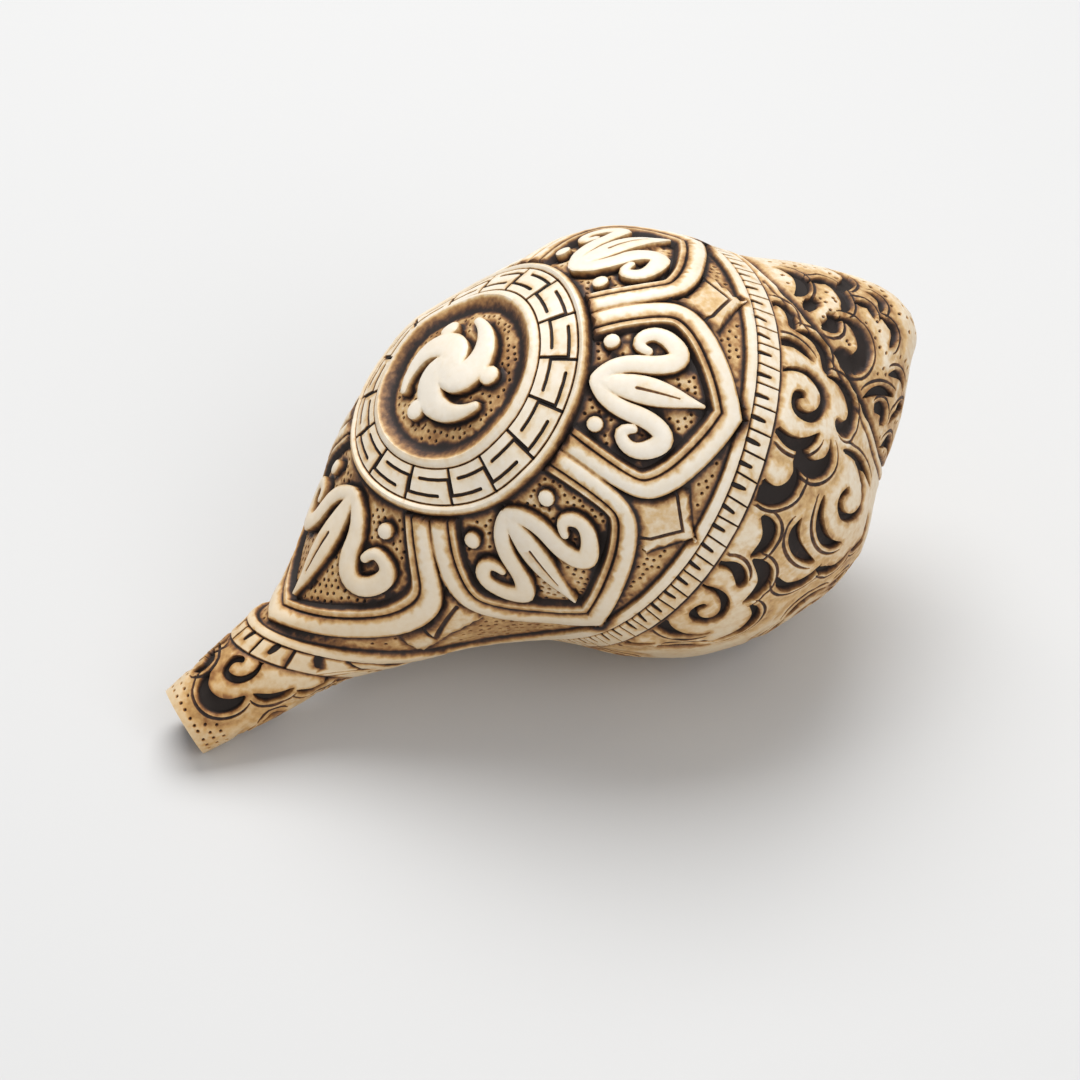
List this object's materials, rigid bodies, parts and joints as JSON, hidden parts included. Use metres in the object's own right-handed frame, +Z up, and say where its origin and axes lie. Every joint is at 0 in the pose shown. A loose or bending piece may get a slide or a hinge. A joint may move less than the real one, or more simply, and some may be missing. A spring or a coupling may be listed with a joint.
{
  "type": "sacred chank shell",
  "caption": "Carved chank shell lying mouth down, with a key-pattern medallion, ring of lotus petals, ticked border and cloud scrolls over the whorls.",
  "frame": {"origin": "on the table under the middle of the shell's box, with the shell lying mouth down as in the picture", "axes": "+X from the canal end towards the apex, +Z up, +Y away from the viewer, on the outer lip's side"},
  "size_m": [0.1451, 0.0791, 0.0809],
  "materials": {
    "shell": "satin, cream with brown stain in the carving"
  },
  "bodies": {
    "root": {"shell": "shell"}
  },
  "joints": []
}
